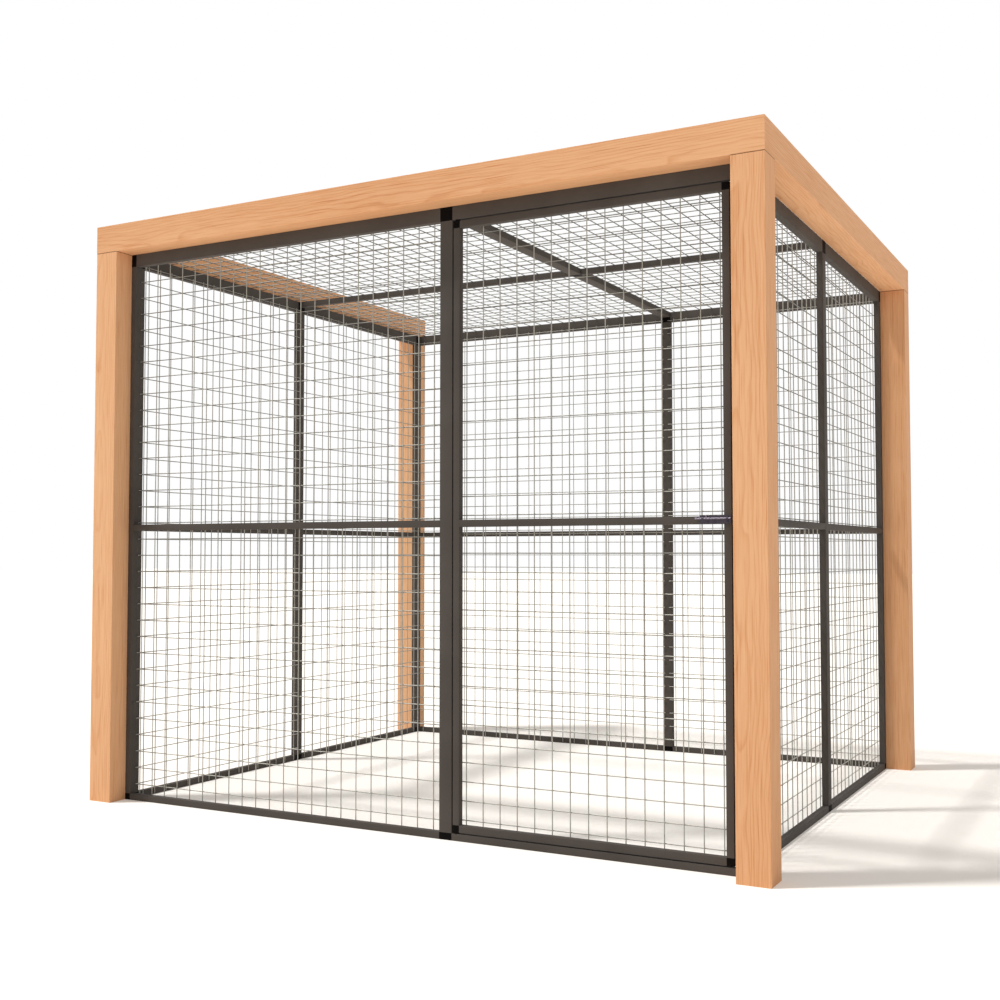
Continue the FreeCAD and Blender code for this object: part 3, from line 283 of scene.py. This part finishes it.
def solids(node):
    """Points of each separate solid of a CAD node: corners that share a place, to a micrometre, or an edge
    take the lowest label among them until nothing changes."""
    mesh = NODES[node].data
    points = np.empty(len(mesh.vertices) * 3, np.float32)
    mesh.vertices.foreach_get("co", points)
    points = points.reshape(-1, 3).astype(float)
    edges = np.empty(len(mesh.edges) * 2, np.int32)
    mesh.edges.foreach_get("vertices", edges)
    same = np.unique(np.round(points, decimals=6), axis=0, return_inverse=True)[1].ravel()
    one, other = same[edges.reshape(-1, 2)].T
    label = np.arange(same.max() + 1)
    settled = False
    while not settled:
        fresh = label.copy()
        least = np.minimum(label[one], label[other])
        np.minimum.at(fresh, one, least)
        np.minimum.at(fresh, other, least)
        settled = np.array_equal(fresh, label)
        label = fresh[fresh]
    label = label[same]
    order = np.argsort(label, kind="stable")
    cuts = np.flatnonzero(np.diff(label[order])) + 1
    return np.split(points[order], cuts)


def stand_in(thing, node, body):
    """Put a piece in the place of a CAD node, riding on its body."""
    bpy.context.scene.collection.objects.link(thing)
    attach(thing, body)
    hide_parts(node)


def piece(name, blocks, material, node, body, crease):
    """One object from blocks, each of points and one or more arrays of faces, in the place of a CAD node."""
    skips = np.cumsum([0] + [len(points) for points, *_ in blocks])
    points = np.concatenate([points for points, *_ in blocks])
    faces = [face for (_, *kinds), skip in zip(blocks, skips) for kind in kinds
             for face in (kind + skip).tolist()]
    mesh = bpy.data.meshes.new(name)
    mesh.from_pydata(points.tolist(), [], faces)
    mesh.materials.append(material)
    mesh.polygons.foreach_set("use_smooth", np.ones(len(faces), bool))
    mesh.set_sharp_from_angle(angle=math.radians(crease))
    mesh.update()
    stand_in(bpy.data.objects.new(name, mesh), node, body)


def ring_faces(rows, count, closed):
    """Quads of a grid of rows, each a closed ring of count points; closed joins the last row to the first."""
    here = np.arange(rows if closed else rows - 1)[:, None] * count
    after = (here + count) % (rows * count)
    ring = np.arange(count)
    ahead = (ring + 1) % count
    return np.stack([here + ring, here + ahead, after + ahead, after + ring], -1).reshape(-1, 4)


def bars(low, high, along, across, depth, shift):
    """Round wires: P(w, e, k) is end e of wire w, plus r cos a_k across and r sin a_k in depth, with
    a_k = 2 pi k / n, and one n-sided face on each end."""
    angle = np.arange(WIRE_SIDES) * 2 * np.pi / WIRE_SIDES
    middle = (low + high) / 2
    points = np.empty((len(low), 2, WIRE_SIDES, 3))
    points[..., along] = np.stack([low[:, along], high[:, along]], 1)[:, :, None]
    points[..., across] = middle[:, across, None, None] + WIRE / 2 * np.cos(angle)
    points[..., depth] = middle[:, depth, None, None] + shift + WIRE / 2 * np.sin(angle)
    base = np.arange(len(low))[:, None] * 2 * WIRE_SIDES
    sides = (base[:, :, None] + ring_faces(2, WIRE_SIDES, False)[None]).reshape(-1, 4)
    ring = np.arange(WIRE_SIDES)
    ends = np.concatenate([base + ring[::-1], base + WIRE_SIDES + ring])
    # where the axes are left-handed, the faces turn round, so that they point outwards
    if (across - along) % 3 == 2:
        sides, ends = sides[:, ::-1], ends[:, ::-1]
    return points.reshape(-1, 3), sides, ends


def welded_mesh(node, body, material):
    """Two layers of round wires where the CAD panel has its wires, sunk into each other at the welds."""
    boxes = np.array([(block.min(0), block.max(0)) for block in solids(node)])
    low, high = boxes[:, 0], boxes[:, 1]
    run = np.argmax(high - low, axis=1)
    first, second = np.unique(run)
    # the axes 0, 1 and 2 add up to 3
    depth = 3 - first - second
    level = (low + high)[:, depth] / 2
    lean = np.sign(level[run == second].mean() - level[run == first].mean()) * WELD_SINK / 2
    blocks = []
    for along, across, shift in ((first, second, lean), (second, first, -lean)):
        mine = run == along
        blocks.append(bars(low[mine], high[mine], along, across, depth, shift))
    piece(node + "_wires", blocks, material, node, body, WIRE_CREASE)


def rounded_outline(width, tall, edge):
    """Rectangle with quarter-round corners, counter-clockwise."""
    turn = np.linspace(0, np.pi / 2, CORNER_STEPS)
    angle = (turn[None] + np.arange(4)[:, None] * np.pi / 2).ravel()
    signs = np.repeat(np.array([(1, 1), (-1, 1), (-1, -1), (1, -1)]), CORNER_STEPS, axis=0)
    return signs * (np.array([width, tall]) / 2 - edge) + edge * np.stack([np.cos(angle), np.sin(angle)], -1)


def tube(low, high):
    """Hollow tube: outlines carried along its length, outer, outer, end rim, bore, bore, end rim, and back to
    the first. The outer outline is drawn in at both ends, as on a sawn and deburred end."""
    size = high - low
    along = int(np.argmax(size))
    across, depth = (along + 1) % 3, (along + 2) % 3
    wide, tall = size[across], size[depth]
    outer = rounded_outline(wide, tall, TUBE_EDGE)
    rim = rounded_outline(wide - 2 * TUBE_END, tall - 2 * TUBE_END, TUBE_EDGE - TUBE_END / 2)
    bore = rounded_outline(wide - 2 * TUBE_WALL, tall - 2 * TUBE_WALL, TUBE_EDGE / 2)
    outlines = np.stack([outer, outer, rim, bore, bore, rim])
    near, far = low[along], high[along]
    spots = np.array([near + TUBE_END, far - TUBE_END, far, far, near, near])
    rows, count = outlines.shape[:2]
    points = np.empty((rows, count, 3))
    points[..., [across, depth]] = outlines + (low + high)[[across, depth]] / 2
    points[..., along] = spots[:, None]
    return points.reshape(-1, 3), ring_faces(rows, count, True)


def screw(points):
    """Turned screw: radius as a function of height along the axis, with a recess of n lobes in the head,
    r(a) = r0 (1 + d cos n a), and one flat face on its tip and one on the recess's floor."""
    low, high = points.min(0), points.max(0)
    along = int(np.argmax(high - low))
    across, depth = (along + 1) % 3, (along + 2) % 3
    middle = (low + high) / 2
    head = (high - low)[across] / 2
    height = points[:, along]
    off = np.hypot(points[:, across] - middle[across], points[:, depth] - middle[depth])
    up = off[height > high[along] - NEAR].max() > off[height < low[along] + NEAR].max()
    top, tip = (high[along], low[along]) if up else (low[along], high[along])
    shank = off[np.abs(height - tip) < NEAR].max()
    wide = off > (head + shank) / 2
    tall = np.ptp(height[wide])
    long = abs(top - tip)
    way = np.sign(top - tip)
    # radius, distance below the head's top and depth of the lobes, from the tip to the recess's floor
    rows = np.array([
        (shank * 0.15, long, 0), (shank, long - shank, 0), (shank, tall, 0),
        (head * 0.96, tall, 0), (head, tall * 0.86, 0), (head, tall * 0.42, 0),
        (head * 0.93, tall * 0.14, 0), (head * 0.78, 0, 0), (head * 0.47, 0, LOBE_DEPTH),
        (head * 0.42, tall * 0.12, LOBE_DEPTH), (head * 0.40, tall * 0.7, LOBE_DEPTH)])
    angle = np.arange(SCREW_STEPS) * 2 * np.pi / SCREW_STEPS
    radius = rows[:, :1] * (1 + rows[:, 2:] * np.cos(LOBES * angle))
    grid = np.empty((len(rows), SCREW_STEPS, 3))
    grid[..., across] = middle[across] + radius * np.cos(angle)
    grid[..., depth] = middle[depth] + radius * np.sin(angle)
    grid[..., along] = (top - way * rows[:, 1])[:, None]
    sides = ring_faces(len(rows), SCREW_STEPS, False)
    ring = np.arange(SCREW_STEPS)
    ends = np.stack([ring[::-1], ring + len(sides)])
    # a head that points down the axis turns the faces round
    if way < 0:
        sides, ends = sides[:, ::-1], ends[:, ::-1]
    return grid.reshape(-1, 3), sides, ends


def paint(node, material):
    """Put one finish on a CAD node's own mesh."""
    NODES[node].data.materials.clear()
    NODES[node].data.materials.append(material)


def planed(node, body, material):
    """A planed timber: a copy of the CAD solid, merged at its corners, with every edge rounded by the width
    of the arris, so that its joints show as fine lines."""
    mesh = NODES[node].data.copy()
    mesh.materials.clear()
    mesh.materials.append(material)
    timber = bpy.data.objects.new(node + "_planed", mesh)
    merged = timber.modifiers.new("merged", "WELD")
    merged.merge_threshold = MERGE
    arris = timber.modifiers.new("arris", "BEVEL")
    arris.width = ARRIS
    arris.segments = ARRIS_STEPS
    arris.limit_method = "ANGLE"
    arris.angle_limit = math.radians(TIMBER_CREASE)
    arris.harden_normals = True
    stand_in(timber, node, body)


def dress():
    """Give every node of the run its finish, and its finer shape where it has one."""
    record = frame["record"]
    body_of = {node: body for body, members in record["behaviour"]["bodies"].items() for node in members}
    slot_of = {part["node"]: part["material_slot"] for part in record["subparts"]}
    coat = powder_coat()
    wire = galvanised_wire()
    plated = zinc("plated_screw", "#9d978e", "#bfb9b0", patch_size=0.003, metallic=0.85, rough=0.28)
    coated = lacquer("coated_screw", "#3a3531", "#47413b", rough=0.42)
    plate = lacquer("latch_lacquer", "#2e2836", "#3d3645", rough=0.36)
    bright = zinc("bright_zinc", "#6e6772", "#89828d", patch_size=0.003, metallic=0.8, rough=0.38)
    screws = {"beam_screws": plated, "latch_screws": plate, "frame_screws": coated}
    painted = {"connector": moulded_nylon(), "latch": plate, "bolt": bright}
    for node in NODES:
        body, slot = body_of[node], slot_of[node]
        if node in TIMBERS:
            planed(node, body, softwood("softwood_" + node, *TIMBERS[node]))
        elif slot == "mesh":
            welded_mesh(node, body, wire)
        elif slot == "frame":
            blocks = [tube(block.min(0), block.max(0)) for block in solids(node)]
            piece(node + "_tube", blocks, coat, node, body, TUBE_CREASE)
        elif slot == "screw":
            blocks = [screw(block) for block in solids(node)]
            piece(node + "_turned", blocks, screws[node], node, body, SCREW_CREASE)
        else:
            paint(node, painted[slot])


def background(tree):
    """1 on the rays that see the white around the run, straight, by gloss or through glass, and 0 on the rays
    that only light it."""
    path = tree.nodes.new("ShaderNodeLightPath").outputs
    seen = add(tree, "ShaderNodeMath", {0: path["Is Camera Ray"], 1: path["Is Glossy Ray"]},
               operation="MAXIMUM")
    return add(tree, "ShaderNodeMath", {0: seen, 1: path["Is Transmission Ray"]}, operation="MAXIMUM")


def floor():
    """Pale warm floor. It glows a little, and a little more to the camera, so that it meets the white around
    it."""
    corners = [(x * FLOOR_REACH, y * FLOOR_REACH, 0) for x, y in ((-1, -1), (1, -1), (1, 1), (-1, 1))]
    mesh = bpy.data.meshes.new("floor")
    mesh.from_pydata(corners, [], [(0, 1, 2, 3)])
    material, tree, shader, _ = new_finish("floor")
    glow = add(tree, "ShaderNodeMath", {0: background(tree), 1: GLOW_SEEN, 2: GLOW}, operation="MULTIPLY_ADD")
    feed(tree, shader, {"Base Color": linear("#f0ebe4"), "Roughness": 0.9, "Specular IOR Level": 0.0,
                        "Emission Color": linear("#fffaf2"), "Emission Strength": glow})
    mesh.materials.append(material)
    thing = bpy.data.objects.new("floor", mesh)
    bpy.context.scene.collection.objects.link(thing)
    # the lamp under the floor reaches the undersides, as on a light table
    thing.visible_shadow = False


def light():
    """White surround, softer to diffuse light, a key lamp from the front left, high up, and a wide weak lamp
    from below."""
    world = bpy.data.worlds.new("studio")
    bpy.context.scene.world = world
    world.use_nodes = True
    tree = world.node_tree
    tree.nodes.clear()
    level = add(tree, "ShaderNodeMath", {0: background(tree), 1: SURROUND_SEEN, 2: SURROUND},
                operation="MULTIPLY_ADD")
    shine = add(tree, "ShaderNodeBackground", {"Color": (1, 1, 1, 1), "Strength": level})
    feed(tree, tree.nodes.new("ShaderNodeOutputWorld"), {"Surface": shine})
    for name, (energy, wide, way) in LAMPS.items():
        lamp = bpy.data.lights.new(name, "SUN")
        lamp.energy = energy
        lamp.angle = math.radians(wide)
        thing = bpy.data.objects.new(name, lamp)
        thing.rotation_euler = Vector(way).to_track_quat("-Z", "Y").to_euler()
        bpy.context.scene.collection.objects.link(thing)


def camera():
    """The photograph's viewpoint."""
    lens = bpy.data.cameras.new("camera")
    lens.sensor_width = SENSOR
    lens.lens = FOCAL
    lens.clip_end = VIEW_REACH
    thing = bpy.data.objects.new("camera", lens)
    thing.location = EYE
    thing.rotation_euler = (math.radians(TILT), 0, math.radians(TURN))
    bpy.context.scene.collection.objects.link(thing)
    bpy.context.scene.camera = thing


dress()
floor()
light()
camera()
bpy.context.scene.view_settings.view_transform = "Standard"
